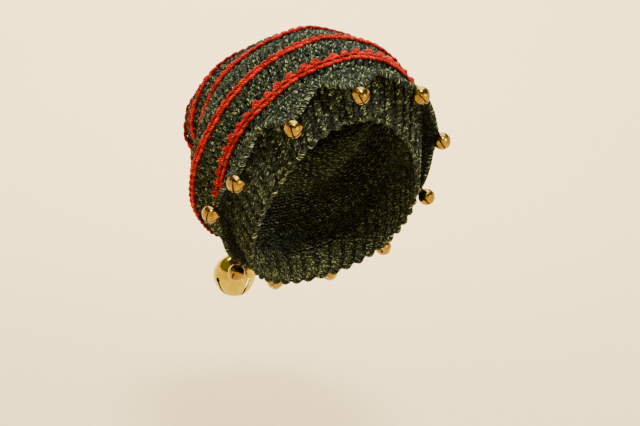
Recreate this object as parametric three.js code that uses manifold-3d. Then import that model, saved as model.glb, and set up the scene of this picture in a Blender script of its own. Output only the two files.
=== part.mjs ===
// Slouchy crocheted elf hat: a ribbed headband, a pointed cuff with small bells, a striped bag
// whose tail hangs at the back, and a large bell on a yarn loop at the tail's tip.
// Millimetres, +Z up, the front of the hat faces -Y and the wearer's left is +X.
// The origin is inside the crown, where the top of the head bears on it.
import * as THREE from 'three';
import { mergeVertices } from 'three/addons/utils/BufferGeometryUtils.js';
import Module from 'manifold-3d';

const wasm = await Module();
wasm.setup();

// Overall sizes of the worn hat
const hatWidth = 202;
const hatLength = 217;
const hatHeight = 221;

// Walls and clearances
const crownWall = 4;
const bandWall = 4.5;
const cuffWall = 3.5;
const touchGap = 0.3;

// Ribs of the headband
const ribCount = 44;
const ribHeight = 1.3;
const ribScallop = 1.6;
const ribTop = 0.72; // share of the band's height where the ribs fade out

// Cuff
const cuffReach = 22;
const cuffDrop = 20;
const cuffRootDrop = 4;
const cuffBend = 3;
const valleyReach = 9;
const valleyDrop = 6;
const valleySag = 9;
const pointSharpness = 1.5;

// Braided stripes
const stripeWidth = 5.5;
const stripeHeight = 3;
const stripeShoulder = 0.55; // share of its height where a braid is widest
const firstStripeRise = 6;

// Bells and the yarn loop that carries the large one
const smallBellRadius = 7.5;
const smallBellWall = 0.6;
const smallSlot = 1.4;
const smallSlotTurn = 45; // degrees from the hat's +X side
const smallShankHole = 1.1;
const smallShankWire = 0.9;
const smallShankClearance = 0.3;
const smallBellLean = 0.6; // share of the downward direction in a small bell's
const largeBellRadius = 20;
const largeBellWall = 1;
const largeSlot = 3;
const largeSlotHole = 2.4;
const largeSlotTurn = 14;
const largeShankHole = 2.1;
const largeShankWire = 1.2;
const largeShankClearance = 1.4;
const peaRadius = 3.5;
const loopYarn = 1;
const loopRadius = 2.8;

// Shares of a jingle bell's radius: its lower half's pinch, its eye's foot, its slots and its holes
const bellPinch = 0.06;
const shankFoot = 0.8;
const slotTop = 0.1;
const holeHeight = -0.1;

// How finely the round shapes are cut
const crownSides = 36;
const bandSides = 2 * ribCount;
const cuffSides = 77;
const cuffShares = [0, 0.35, 0.7, 1];

// The sections of the hat from the brim to the tip of the tail. Each is a tilted ring, given by its
// foremost and its rearmost point. y is a share of hatLength from the head's axis, and z a share of
// hatHeight above the nape of the brim. half and lean are shares of hatWidth, and dip, the sag of
// the ring's sides towards the brim, is a share of hatHeight. ripple is a share of the radius.
// name, front y, front z, back y, back z, half, dip, lean, ripple
const sectionTable = [
  ['brim', -0.318, 0.720, 0.203, 0.000, 0.369, 0.077, 0.000, 0.000],
  ['stripe 1', -0.272, 0.903, 0.230, 0.085, 0.436, 0.000, 0.000, 0.000],
  ['first green', -0.187, 0.953, 0.364, 0.095, 0.467, 0.026, 0.003, 0.000],
  ['stripe 2', -0.085, 0.983, 0.458, 0.115, 0.500, 0.061, 0.000, 0.000],
  ['second green', 0.017, 1.000, 0.462, 0.195, 0.482, 0.042, 0.000, 0.004],
  ['stripe 3', 0.111, 1.000, 0.440, 0.290, 0.425, 0.010, 0.014, 0.006],
  ['third green', 0.200, 0.992, 0.425, 0.365, 0.422, 0.020, 0.010, 0.008],
  ['stripe 4', 0.270, 0.949, 0.430, 0.425, 0.436, 0.023, 0.012, 0.010],
  ['fourth green', 0.400, 0.885, 0.470, 0.450, 0.408, 0.010, 0.004, 0.015],
  ['stripe 5', 0.525, 0.797, 0.515, 0.405, 0.357, 0.000, -0.012, 0.020],
  ['stripe 6', 0.615, 0.635, 0.540, 0.325, 0.275, 0.000, -0.032, 0.030],
  ['stripe 7', 0.672, 0.470, 0.555, 0.258, 0.215, 0.000, -0.052, 0.035],
  ['tail', 0.675, 0.308, 0.565, 0.195, 0.149, 0.000, -0.072, 0.030],
  ['tail end', 0.655, 0.184, 0.572, 0.139, 0.092, 0.000, -0.089, 0.020],
  ['tip', 0.617, 0.100, 0.565, 0.080, 0.045, 0.000, -0.099, 0.000],
];
const sectionName = sectionTable.map((row) => row[0]);
const sectionRows = sectionTable.map(([, frontY, frontZ, backY, backZ, half, dip, lean, ripple]) => [
  frontY * hatLength,
  frontZ * hatHeight,
  backY * hatLength,
  backZ * hatHeight,
  half * hatWidth,
  dip * hatHeight,
  lean * hatWidth,
  ripple,
]);
const foldCount = 7;
const foldPhase = 0.6;

// The points of the cuff, one for each small bell. The angle runs round the head from the front
// towards the wearer's left, in degrees. reach and drop are shares of cuffReach and cuffDrop.
// angle, reach, drop
const cuffPoints = [
  [-174, 0.60, 0.25],
  [-148, 0.48, 0.12],
  [-97, 0.70, 0.37],
  [-74, 0.86, 0.95],
  [-41, 0.86, 1.07],
  [-10, 0.87, 0.93],
  [22, 0.85, 0.80],
  [59, 0.50, 0.84],
  [99, 0.50, 0.38],
  [131, 0.60, 0.35],
  [158, 0.70, 0.25],
];

const seatSection = sectionName.indexOf('second green');
const firstStripe = sectionName.indexOf('stripe 1');
const lastSection = sectionRows.length - 1;
const upwards = new THREE.Vector3(0, 0, 1);
const degrees = Math.PI / 180;
const fullTurn = 2 * Math.PI;

// Smooth curve through the section table: the columns at any place along the hat
function sectionAt(place) {
  const start = Math.min(Math.max(Math.floor(place), 0), lastSection - 1);
  const step = place - start;
  const row = sectionRows[start];
  const next = sectionRows[start + 1];
  return row.map((value, column) => {
    const before = start > 0 ? sectionRows[start - 1][column] : 2 * value - next[column];
    const hasAfter = start + 2 <= lastSection;
    const after = hasAfter ? sectionRows[start + 2][column] : 2 * next[column] - value;
    const slope = (next[column] - before) / 2;
    const nextSlope = (after - value) / 2;
    const rise = next[column] - value;
    return value + step * (slope + step * (3 * rise - 2 * slope - nextSlope
      + step * (slope + nextSlope - 2 * rise)));
  });
}

// A point of the hat's outer surface, at a place along it and an angle round it
function outerPoint(place, angle) {
  const [frontY, frontZ, backY, backZ, half, dip, lean, ripple] = sectionAt(place);
  const depthY = (frontY - backY) / 2;
  const depthZ = (frontZ - backZ) / 2;
  const depth = Math.hypot(depthY, depthZ);
  const swell = 1 + ripple * Math.cos(foldCount * angle + foldPhase);
  const across = Math.sin(angle) * swell;
  const along = Math.cos(angle) * swell;
  const sag = dip * Math.sin(angle) ** 2;
  return new THREE.Vector3(
    lean + half * across,
    (frontY + backY) / 2 + depthY * along - (depthZ / depth) * sag,
    (frontZ + backZ) / 2 + depthZ * along + (depthY / depth) * sag,
  );
}

// The same point with the outward direction there and the direction towards the tail
function surfaceFrame(place, angle) {
  const small = 0.001;
  const point = outerPoint(place, angle);
  const aheadPlace = outerPoint(place + small, angle);
  const behindPlace = outerPoint(place - small, angle);
  const aheadAngle = outerPoint(place, angle + small);
  const behindAngle = outerPoint(place, angle - small);
  const towardsTail = aheadPlace.sub(behindPlace).normalize();
  const outward = aheadAngle.sub(behindAngle).cross(towardsTail).normalize();
  return { point, outward, towardsTail };
}

// An angle that grows evenly with the distance round the brim, which is longer than it is wide
function evenAngle(angle) {
  const [frontY, frontZ, backY, backZ, half] = sectionRows[0];
  const depthSquared = ((frontY - backY) ** 2 + (frontZ - backZ) ** 2) / 4;
  const stretch = (depthSquared - half ** 2) / (4 * (depthSquared + half ** 2));
  return angle - stretch * Math.sin(2 * angle);
}

// Length of the headband from the brim to the first stripe at an angle
function bandLength(angle) {
  return outerPoint(firstStripe, angle).distanceTo(outerPoint(0, angle));
}

function anglesRound(count) {
  return Array.from({ length: count }, (_, index) => (index / count) * fullTurn);
}

// A closed body through rings of points. With two end points it is capped there, and otherwise its
// last ring joins its first one.
function loft(rings, firstEnd, lastEnd) {
  const sides = rings[0].length;
  const points = rings.flat();
  const triangles = [];
  const bands = firstEnd ? rings.length - 1 : rings.length;
  for (let band = 0; band < bands; band += 1) {
    const here = band * sides;
    const there = ((band + 1) % rings.length) * sides;
    for (let side = 0; side < sides; side += 1) {
      const next = (side + 1) % sides;
      triangles.push(here + side, here + next, there + next, here + side, there + next, there + side);
    }
  }
  if (firstEnd) {
    const lastRing = (rings.length - 1) * sides;
    for (let side = 0; side < sides; side += 1) {
      const next = (side + 1) % sides;
      triangles.push(points.length, next, side);
      triangles.push(points.length + 1, lastRing + side, lastRing + next);
    }
    points.push(firstEnd, lastEnd);
  }
  const geometry = new THREE.BufferGeometry().setFromPoints(points);
  geometry.setIndex(facingOut(points, triangles));
  return geometry;
}

// Turns the triangles over if they enclose a negative volume
function facingOut(points, triangles) {
  let volume = 0;
  for (let index = 0; index < triangles.length; index += 3) {
    const [a, b, c] = [0, 1, 2].map((corner) => points[triangles[index + corner]]);
    volume += a.dot(new THREE.Vector3().crossVectors(b, c));
  }
  return volume > 0 ? triangles : triangles.toReversed();
}

// Booleans need a mesh with shared corners and no empty triangles
function toSolid(geometry) {
  const bare = geometry.clone();
  bare.deleteAttribute('normal');
  bare.deleteAttribute('uv');
  const merged = mergeVertices(bare, 0.001);
  const kept = [];
  for (let index = 0; index < merged.index.count; index += 3) {
    const corners = [0, 1, 2].map((corner) => merged.index.getX(index + corner));
    if (new Set(corners).size === 3) kept.push(...corners);
  }
  return new wasm.Manifold(new wasm.Mesh({
    numProp: 3,
    vertProperties: new Float32Array(merged.attributes.position.array),
    triVerts: new Uint32Array(kept),
  }));
}

function toGeometry(solid) {
  const mesh = solid.getMesh();
  const geometry = new THREE.BufferGeometry();
  geometry.setAttribute('position', new THREE.BufferAttribute(mesh.vertProperties, 3));
  geometry.setIndex(new THREE.BufferAttribute(mesh.triVerts, 1));
  return geometry;
}

// The places along the crown where its outer and inner skins are cut. Every stripe lies on one.
function crownPlaces() {
  const outer = [];
  const tailStart = sectionName.indexOf('stripe 4');
  for (let place = firstStripe + 0.5; place < tailStart; place += 0.5) outer.push(place);
  for (let place = tailStart; place < lastSection; place += 1) outer.push(place);
  const inner = [];
  for (let place = firstStripe + 1; place < lastSection - 1; place += 1) inner.push(place);
  return { outer, inner };
}

// The place of the first stripe's centre line, a little above the headband. Where the bag is drawn
// in, it stays below the next ring of the crown.
const highestFirstStripe = 0.77;

function firstStripePlace(angle) {
  const step = 0.5;
  const reach = outerPoint(firstStripe + step, angle).distanceTo(outerPoint(firstStripe, angle));
  return firstStripe + step * Math.min(firstStripeRise / reach, highestFirstStripe);
}

// The open edge of a stretch of the hat, half a gap from the place that it shares with the next one
function openEdge(place, angle, side, depth) {
  const { point, outward, towardsTail } = surfaceFrame(place, angle);
  return point.addScaledVector(towardsTail, (side * touchGap) / 2).addScaledVector(outward, -depth);
}

// One stretch of the bag, from a stripe to a later one or to the closed end of the tail
function crown(from, to) {
  const angles = anglesRound(crownSides);
  const between = (places) => places.filter((place) => place > from && place < to);
  const places = crownPlaces();
  const edgeRing = (place, side, depth) => angles.map((angle) => openEdge(place, angle, side, depth));
  const outerRings = [
    edgeRing(from, 1, 0),
    ...between(places.outer).map((place) => angles.map((angle) => outerPoint(place, angle))),
  ];
  const innerRings = [
    edgeRing(from, 1, crownWall),
    ...between(places.inner).map((place) => angles.map((angle) => innerPoint(place, angle))),
  ];
  if (from === firstStripe) {
    outerRings.splice(1, 0, angles.map((angle) => outerPoint(firstStripePlace(angle), angle)));
  }
  if (to === lastSection) {
    outerRings.push(angles.map((angle) => outerPoint(to, angle)));
    const innerEnd = middleOf(innerRings.at(-1)).addScaledVector(upwards, -crownWall / 2);
    return loft([...innerRings.toReversed(), ...outerRings], innerEnd, tailEnd());
  }
  outerRings.push(edgeRing(to, -1, 0));
  innerRings.push(edgeRing(to, -1, crownWall));
  return loft([...outerRings, ...innerRings.toReversed()]);
}

function innerPoint(place, angle) {
  const { point, outward } = surfaceFrame(place, angle);
  return point.addScaledVector(outward, -crownWall);
}

function middleOf(points) {
  const sum = points.reduce((total, point) => total.add(point), new THREE.Vector3());
  return sum.divideScalar(points.length);
}

// The lowest point of the tail, where the yarn loop is tied on
function tailEnd() {
  const tipRing = anglesRound(crownSides).map((angle) => outerPoint(lastSection, angle));
  const lowest = Math.min(...tipRing.map((point) => point.z));
  const middle = middleOf(tipRing);
  return new THREE.Vector3(middle.x, middle.y, lowest - crownWall / 2);
}

// Ribs run up the headband, stand out on its outer face and end in small scallops at the brim
function headband() {
  const angles = anglesRound(bandSides);
  const heights = [0, ribTop];
  const ribAt = (angle) => (1 + Math.cos(ribCount * evenAngle(angle))) / 2;
  const bandPoint = (angle, height, depth) => {
    const { point, outward, towardsTail } = surfaceFrame(height * firstStripe, angle);
    const scallop = height === 0 ? -ribScallop * ribAt(angle) : 0;
    return point.addScaledVector(towardsTail, scallop).addScaledVector(outward, -depth);
  };
  const outerRings = heights.map((height) => angles.map((angle) => (
    bandPoint(angle, height, ribHeight * (1 - ribAt(angle)))
  )));
  const innerRings = heights.map((height) => angles.map((angle) => bandPoint(angle, height, bandWall)));
  const topOuter = angles.map((angle) => openEdge(firstStripe, angle, -1, 0));
  const topInner = angles.map((angle) => openEdge(firstStripe, angle, -1, bandWall));
  return loft([...outerRings, topOuter, topInner, ...innerRings.toReversed()]);
}

// How far out and down the cuff's free edge lies at an angle. Between two points it is an arch.
function cuffEdge(angle) {
  const turn = angle / degrees;
  const nearest = cuffPoints.map(([pointAngle, reach, drop]) => {
    const away = ((turn - pointAngle + 540) % 360) - 180;
    return { away, reach, drop };
  });
  const before = nearest.filter((item) => item.away >= 0).reduce((a, b) => (a.away < b.away ? a : b));
  const after = nearest.filter((item) => item.away < 0).reduce((a, b) => (a.away > b.away ? a : b));
  const share = before.away / (before.away - after.away);
  const pointed = Math.abs(Math.cos(Math.PI * share)) ** pointSharpness;
  const blend = (1 - Math.cos(Math.PI * share)) / 2;
  const reach = THREE.MathUtils.lerp(before.reach, after.reach, blend) * cuffReach;
  const drop = THREE.MathUtils.lerp(before.drop, after.drop, blend) * cuffDrop;
  return {
    out: THREE.MathUtils.lerp(valleyReach, reach, pointed),
    down: THREE.MathUtils.lerp(valleyDrop, drop, pointed),
    sag: THREE.MathUtils.lerp(valleySag, drop / 2, pointed),
  };
}

// A point of the cuff's middle layer: share 0 is its root on the headband and 1 its free edge
function cuffMiddle(angle, share) {
  const rootPlace = firstStripe * (1 - cuffRootDrop / bandLength(angle));
  const { point, outward, towardsTail } = surfaceFrame(rootPlace, angle);
  const edge = cuffEdge(angle);
  const out = 2 * share * (1 - share) * cuffBend + share * share * edge.out;
  const down = 2 * share * (1 - share) * edge.sag + share * share * edge.down;
  const clear = touchGap + cuffWall / 2;
  return point.addScaledVector(outward, clear + out).addScaledVector(towardsTail, -down);
}

// The cuff's middle layer moved to one of its faces
function cuffFace(angle, share, side) {
  const small = 0.002;
  const round = cuffMiddle(angle + small, share).sub(cuffMiddle(angle - small, share));
  const along = cuffMiddle(angle, share + small).sub(cuffMiddle(angle, share - small));
  const facing = along.cross(round).normalize();
  return cuffMiddle(angle, share).addScaledVector(facing, (side * cuffWall) / 2);
}

// Sides of the cuff are cut so that each point of it falls on one
function cuffAngles() {
  const perPoint = cuffSides / cuffPoints.length;
  return cuffPoints.flatMap(([angle], index) => {
    const next = cuffPoints[(index + 1) % cuffPoints.length][0];
    const span = (next - angle + 360) % 360;
    return Array.from({ length: perPoint }, (_, step) => (angle + (span * step) / perPoint) * degrees);
  });
}

function cuff() {
  const angles = cuffAngles();
  const upper = cuffShares.map((share) => angles.map((angle) => cuffFace(angle, share, 1)));
  const lower = cuffShares.map((share) => angles.map((angle) => cuffFace(angle, share, -1)));
  return loft([...upper, ...lower.toReversed()]);
}

// A flat braid lying round the crown at a place that may vary with the angle
function stripe(placeAt, sides) {
  const corners = [[0, 0], [-1, stripeShoulder], [0, 1], [1, stripeShoulder]];
  const rings = corners.map(([across, up]) => anglesRound(sides).map((angle) => {
    const { point, outward, towardsTail } = surfaceFrame(placeAt(angle), angle);
    return point
      .addScaledVector(towardsTail, (across * stripeWidth) / 2)
      .addScaledVector(outward, touchGap + up * stripeHeight);
  }));
  return loft(rings);
}

// Half a turn of square wire, standing on a bell as its eye. Its hole faces along Y.
function shank(hole, wire, foot, segments) {
  const outer = hole + wire;
  const outline = new THREE.Shape();
  outline.moveTo(outer, -foot);
  for (let step = 0; step <= segments; step += 1) {
    const angle = (Math.PI * step) / segments;
    outline.lineTo(outer * Math.cos(angle), outer * Math.sin(angle));
  }
  outline.lineTo(-outer, -foot);
  outline.lineTo(-hole, -foot);
  for (let step = segments; step >= 0; step -= 1) {
    const angle = (Math.PI * step) / segments;
    outline.lineTo(hole * Math.cos(angle), hole * Math.sin(angle));
  }
  outline.lineTo(hole, -foot);
  outline.closePath();
  const eye = new THREE.ExtrudeGeometry(outline, { depth: wire, bevelEnabled: false });
  return eye.translate(0, 0, -wire / 2).rotateX(Math.PI / 2);
}

// A round body on the Z axis whose lower half narrows a little
function bellBody(radius, sides, rows) {
  const profile = Array.from({ length: rows + 1 }, (_, row) => {
    const angle = -Math.PI / 2 + (Math.PI * row) / rows;
    const narrow = angle < 0 ? 1 - bellPinch * Math.sin(2 * angle) ** 2 : 1;
    const onAxis = row === 0 || row === rows;
    return new THREE.Vector2(onAxis ? 0 : radius * narrow * Math.cos(angle), radius * Math.sin(angle));
  });
  return new THREE.LatheGeometry(profile, sides).rotateX(Math.PI / 2);
}

// A hollow bell with two crossed slots below and an eye on top, its centre at the origin
function jingleBell({
  radius, wall, slot, slotHole, slotTurn, hole, wire, eyeCentre, eyeSteps, sides, rows,
}) {
  let solid = toSolid(bellBody(radius, sides, rows));
  const foot = eyeCentre - shankFoot * radius;
  const eye = shank(hole, wire, foot, eyeSteps).translate(0, 0, eyeCentre);
  solid = solid.add(toSolid(eye));
  solid = solid.subtract(toSolid(bellBody(radius - wall, sides - 2, rows - 1)));
  for (const turn of [slotTurn, slotTurn + Math.PI / 2]) {
    const cut = new THREE.BoxGeometry(3 * radius, slot, radius).rotateZ(turn);
    solid = solid.subtract(toSolid(cut.translate(0, 0, -radius * (slotTop + 0.5))));
    if (slotHole > 0) {
      const drill = new THREE.CylinderGeometry(slotHole, slotHole, 3 * radius, 6).rotateZ(Math.PI / 2);
      solid = solid.subtract(toSolid(drill.rotateZ(turn).translate(0, 0, radius * holeHeight)));
    }
  }
  return toGeometry(solid);
}

// A small bell follows its point of the cuff, and leans from there towards the ground
function placeSmallBell(mesh, angle) {
  const tip = cuffMiddle(angle, 1);
  const nearTip = cuffShares.at(-2);
  const direction = tip.clone().sub(cuffMiddle(angle, nearTip)).normalize();
  direction.addScaledVector(upwards, -smallBellLean).normalize();
  const eyeTop = smallEyeCentre + smallShankHole + smallShankWire;
  const away = 1.5 * touchGap + eyeTop;
  mesh.position.copy(tip.addScaledVector(direction, away));
  mesh.quaternion.setFromUnitVectors(upwards, direction.negate());
}

const smallEyeCentre = smallBellRadius + smallShankClearance;
const largeEyeCentre = largeBellRadius + largeShankClearance;

// Yarn and metal as the photograph shows them
const yarnGreen = new THREE.Color(0.07, 0.10, 0.075);
const yarnRed = new THREE.Color(0.62, 0.03, 0.02);
const bellGold = new THREE.Color(0.72, 0.45, 0.14);

function yarnMaterial(color) {
  return new THREE.MeshStandardMaterial({ color, roughness: 0.95, metalness: 0 });
}

function metalMaterial() {
  return new THREE.MeshStandardMaterial({ color: bellGold, roughness: 0.25, metalness: 1 });
}

const hat = new THREE.Group();

function addPiece(name, geometry, material) {
  const mesh = new THREE.Mesh(geometry, material);
  mesh.name = name;
  hat.add(mesh);
  return mesh;
}

// The bag is made in three stretches that meet under stripes 2 and 4
const [frontEnd, topEnd] = ['stripe 2', 'stripe 4'].map((name) => sectionName.indexOf(name));
addPiece('crown_front', crown(firstStripe, frontEnd), yarnMaterial(yarnGreen));
addPiece('crown_top', crown(frontEnd, topEnd), yarnMaterial(yarnGreen));
addPiece('crown_tail', crown(topEnd, lastSection), yarnMaterial(yarnGreen));
addPiece('headband', headband(), yarnMaterial(yarnGreen));
addPiece('cuff', cuff(), yarnMaterial(yarnGreen));

// The stripes, counted from the cuff
addPiece('stripe_1', stripe(firstStripePlace, crownSides), yarnMaterial(yarnRed));
for (let number = 2; number <= 7; number += 1) {
  const place = sectionName.indexOf(`stripe ${number}`);
  addPiece(`stripe_${number}`, stripe(() => place, crownSides), yarnMaterial(yarnRed));
}

// The small bells, one at each point of the cuff
const smallBell = jingleBell({
  radius: smallBellRadius,
  wall: smallBellWall,
  slot: smallSlot,
  slotHole: 0,
  slotTurn: smallSlotTurn * degrees,
  hole: smallShankHole,
  wire: smallShankWire,
  eyeCentre: smallEyeCentre,
  eyeSteps: 3,
  sides: 10,
  rows: 4,
});
cuffPoints.forEach(([angle], index) => {
  const name = `small_bell_${String(index + 1).padStart(2, '0')}`;
  placeSmallBell(addPiece(name, smallBell, metalMaterial()), angle * degrees);
});

// The yarn loop lies in the YZ plane, and the large bell's eye hangs on its lowest stretch
const loopCentre = tailEnd().addScaledVector(upwards, -(touchGap + loopYarn + loopRadius));
const loop = new THREE.TorusGeometry(loopRadius, loopYarn, 6, 10).rotateY(Math.PI / 2);
addPiece('tail_loop', loop, yarnMaterial(yarnGreen)).position.copy(loopCentre);

const swingAxis = loopCentre.clone().addScaledVector(upwards, -loopRadius);
const eyeRise = largeShankHole - loopYarn - touchGap;
const largeBellCentre = swingAxis.clone().addScaledVector(upwards, -(largeEyeCentre + eyeRise));
const largeBell = jingleBell({
  radius: largeBellRadius,
  wall: largeBellWall,
  slot: largeSlot,
  slotHole: largeSlotHole,
  slotTurn: largeSlotTurn * degrees,
  hole: largeShankHole,
  wire: largeShankWire,
  eyeCentre: largeEyeCentre,
  eyeSteps: 4,
  sides: 14,
  rows: 6,
});
addPiece('large_bell', largeBell, metalMaterial()).position.copy(largeBellCentre);

const peaCentre = largeBellCentre.clone();
peaCentre.addScaledVector(upwards, -(largeBellRadius - largeBellWall - peaRadius - touchGap));
const pea = new THREE.SphereGeometry(peaRadius, 8, 4).rotateX(Math.PI / 2);
addPiece('bell_pea', pea, metalMaterial()).position.copy(peaCentre);

// The seat on the head's top, on the crown's inner face, becomes the origin
hat.position.copy(innerPoint(seatSection, 0)).negate();

export default hat;
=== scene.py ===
import math
from typing import NamedTuple

import bmesh
import bpy
import numpy as np
from mathutils import Matrix, Vector


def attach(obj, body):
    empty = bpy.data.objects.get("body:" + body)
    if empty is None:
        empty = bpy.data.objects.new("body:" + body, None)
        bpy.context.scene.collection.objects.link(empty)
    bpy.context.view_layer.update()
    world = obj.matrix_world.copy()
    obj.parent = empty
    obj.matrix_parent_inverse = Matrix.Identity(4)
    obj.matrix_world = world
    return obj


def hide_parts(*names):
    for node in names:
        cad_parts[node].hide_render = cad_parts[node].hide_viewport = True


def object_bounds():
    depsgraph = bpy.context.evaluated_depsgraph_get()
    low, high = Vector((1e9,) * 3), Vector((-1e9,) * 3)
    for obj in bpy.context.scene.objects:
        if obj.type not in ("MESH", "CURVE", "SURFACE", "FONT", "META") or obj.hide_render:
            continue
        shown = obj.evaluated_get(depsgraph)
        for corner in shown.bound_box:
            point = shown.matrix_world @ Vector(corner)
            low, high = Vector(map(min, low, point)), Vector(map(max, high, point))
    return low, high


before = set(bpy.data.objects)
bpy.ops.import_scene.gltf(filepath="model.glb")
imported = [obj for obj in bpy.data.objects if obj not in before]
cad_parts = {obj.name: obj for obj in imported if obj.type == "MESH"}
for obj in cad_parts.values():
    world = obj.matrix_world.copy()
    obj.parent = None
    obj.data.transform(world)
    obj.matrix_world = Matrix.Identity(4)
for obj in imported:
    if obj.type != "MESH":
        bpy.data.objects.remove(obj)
cad_box = [[float(value) for value in corner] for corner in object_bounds()]

# Crocheted elf hat. Its lengths are in millimetres and become metres where a mesh is built.
# The stage, the lights and the camera are placed in metres.
METRES = 0.001
FULL_TURN = 2 * math.pi
rng = np.random.default_rng(7)

# Overall sizes, walls and clearances of the hat
HAT_WIDTH = 202.0
HAT_LENGTH = 217.0
HAT_HEIGHT = 221.0
CROWN_WALL = 4.0
BAND_WALL = 4.5
CUFF_WALL = 3.5
TOUCH_GAP = 0.3

# Ribs of the headband
RIB_COUNT = 44
RIB_HEIGHT = 1.3
RIB_SCALLOP = 1.6

# Cuff
CUFF_REACH = 22.0
CUFF_DROP = 20.0
CUFF_ROOT_DROP = 4.0
CUFF_BEND = 3.0
VALLEY_REACH = 9.0
VALLEY_DROP = 6.0
VALLEY_SAG = 9.0

# First stripe, tail loop and the large bell's pellet
FIRST_STRIPE_RISE = 6.0
HIGHEST_FIRST_STRIPE = 0.77
LOOP_YARN = 1.0
LOOP_RADIUS = 2.8
PEA_RADIUS = 3.5


class BellForm(NamedTuple):
    """The sizes of a jingle bell, and the columns of faces in a quarter of its shell."""
    radius: float
    wall: float
    slot: float
    slot_hole: float
    slot_turn: float
    eye_hole: float
    eye_wire: float
    eye_rise: float
    columns: int

    @property
    def eye_centre(self):
        return self.radius + self.eye_rise


SMALL_BELL = BellForm(
    radius=7.5, wall=0.5, slot=1.3, slot_hole=1.25, slot_turn=math.radians(45),
    eye_hole=1.1, eye_wire=0.9, eye_rise=0.3, columns=8,
)
LARGE_BELL = BellForm(
    radius=20.0, wall=0.9, slot=2.8, slot_hole=2.5, slot_turn=math.radians(14),
    eye_hole=2.1, eye_wire=1.2, eye_rise=1.4, columns=16,
)

# The sections of the hat from the brim to the tip of the tail, as shares of its sizes
# name, front y, front z, back y, back z, half, dip, lean, ripple
SECTION_TABLE = [
    ("brim", -0.318, 0.720, 0.203, 0.000, 0.369, 0.077, 0.000, 0.000),
    ("stripe 1", -0.272, 0.903, 0.230, 0.085, 0.436, 0.000, 0.000, 0.000),
    ("first green", -0.187, 0.953, 0.364, 0.095, 0.467, 0.026, 0.003, 0.000),
    ("stripe 2", -0.085, 0.983, 0.458, 0.115, 0.500, 0.061, 0.000, 0.000),
    ("second green", 0.017, 1.000, 0.462, 0.195, 0.482, 0.042, 0.000, 0.004),
    ("stripe 3", 0.111, 1.000, 0.440, 0.290, 0.425, 0.010, 0.014, 0.006),
    ("third green", 0.200, 0.992, 0.425, 0.365, 0.422, 0.020, 0.010, 0.008),
    ("stripe 4", 0.270, 0.949, 0.430, 0.425, 0.436, 0.023, 0.012, 0.010),
    ("fourth green", 0.400, 0.885, 0.470, 0.450, 0.408, 0.010, 0.004, 0.015),
    ("stripe 5", 0.525, 0.797, 0.515, 0.405, 0.357, 0.000, -0.012, 0.020),
    ("stripe 6", 0.615, 0.635, 0.540, 0.325, 0.275, 0.000, -0.032, 0.030),
    ("stripe 7", 0.672, 0.470, 0.555, 0.258, 0.215, 0.000, -0.052, 0.035),
    ("tail", 0.675, 0.308, 0.565, 0.195, 0.149, 0.000, -0.072, 0.030),
    ("tail end", 0.655, 0.184, 0.572, 0.139, 0.092, 0.000, -0.089, 0.020),
    ("tip", 0.617, 0.100, 0.565, 0.080, 0.045, 0.000, -0.099, 0.000),
]
SECTION_NAMES = [row[0] for row in SECTION_TABLE]
COLUMN_SIZES = np.array(
    [HAT_LENGTH, HAT_HEIGHT, HAT_LENGTH, HAT_HEIGHT, HAT_WIDTH, HAT_HEIGHT, HAT_WIDTH, 1.0]
)
SECTION_ROWS = np.array([row[1:] for row in SECTION_TABLE]) * COLUMN_SIZES
LAST_SECTION = len(SECTION_ROWS) - 1
FOLD_COUNT = 7
FOLD_PHASE = 0.6
SEAT_SECTION = float(SECTION_NAMES.index("second green"))
FIRST_STRIPE = float(SECTION_NAMES.index("stripe 1"))

# The points of the cuff: angle in degrees, then reach and drop as shares of the cuff's
CUFF_POINTS = np.array([
    (-174, 0.60, 0.25),
    (-148, 0.48, 0.12),
    (-97, 0.70, 0.37),
    (-74, 0.86, 0.95),
    (-41, 0.86, 1.07),
    (-10, 0.87, 0.93),
    (22, 0.85, 0.80),
    (59, 0.50, 0.84),
    (99, 0.50, 0.38),
    (131, 0.60, 0.35),
    (158, 0.70, 0.25),
])


# The surface of the hat

def unit(vectors):
    return vectors / np.linalg.norm(vectors, axis=-1, keepdims=True)


def even_turns(count, shift=0.0):
    """Even angles round a full turn. shift moves them by a share of their spacing."""
    return (np.arange(count) + shift) / count * FULL_TURN


def section_at(place):
    place = np.asarray(place, float)
    start = np.clip(np.floor(place).astype(int), 0, LAST_SECTION - 1)
    step = (place - start)[..., None]
    row = SECTION_ROWS[start]
    following = SECTION_ROWS[start + 1]
    before = np.where((start > 0)[..., None], SECTION_ROWS[np.maximum(start - 1, 0)], 2 * row - following)
    has_after = (start + 2 <= LAST_SECTION)[..., None]
    after = np.where(has_after, SECTION_ROWS[np.minimum(start + 2, LAST_SECTION)], 2 * following - row)
    slope = (following - before) / 2
    next_slope = (after - row) / 2
    rise = following - row
    cubic = slope + next_slope - 2 * rise
    return row + step * (slope + step * (3 * rise - 2 * slope - next_slope + step * cubic))


def outer_point(place, angle):
    place, angle = np.broadcast_arrays(np.asarray(place, float), np.asarray(angle, float))
    front_y, front_z, back_y, back_z, half, dip, lean, ripple = np.moveaxis(section_at(place), -1, 0)
    depth_y = (front_y - back_y) / 2
    depth_z = (front_z - back_z) / 2
    depth = np.hypot(depth_y, depth_z)
    swell = 1 + ripple * np.cos(FOLD_COUNT * angle + FOLD_PHASE)
    across = np.sin(angle) * swell
    along = np.cos(angle) * swell
    sag = dip * np.sin(angle) ** 2
    return np.stack([
        lean + half * across,
        (front_y + back_y) / 2 + depth_y * along - depth_z / depth * sag,
        (front_z + back_z) / 2 + depth_z * along + depth_y / depth * sag,
    ], axis=-1)


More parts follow.
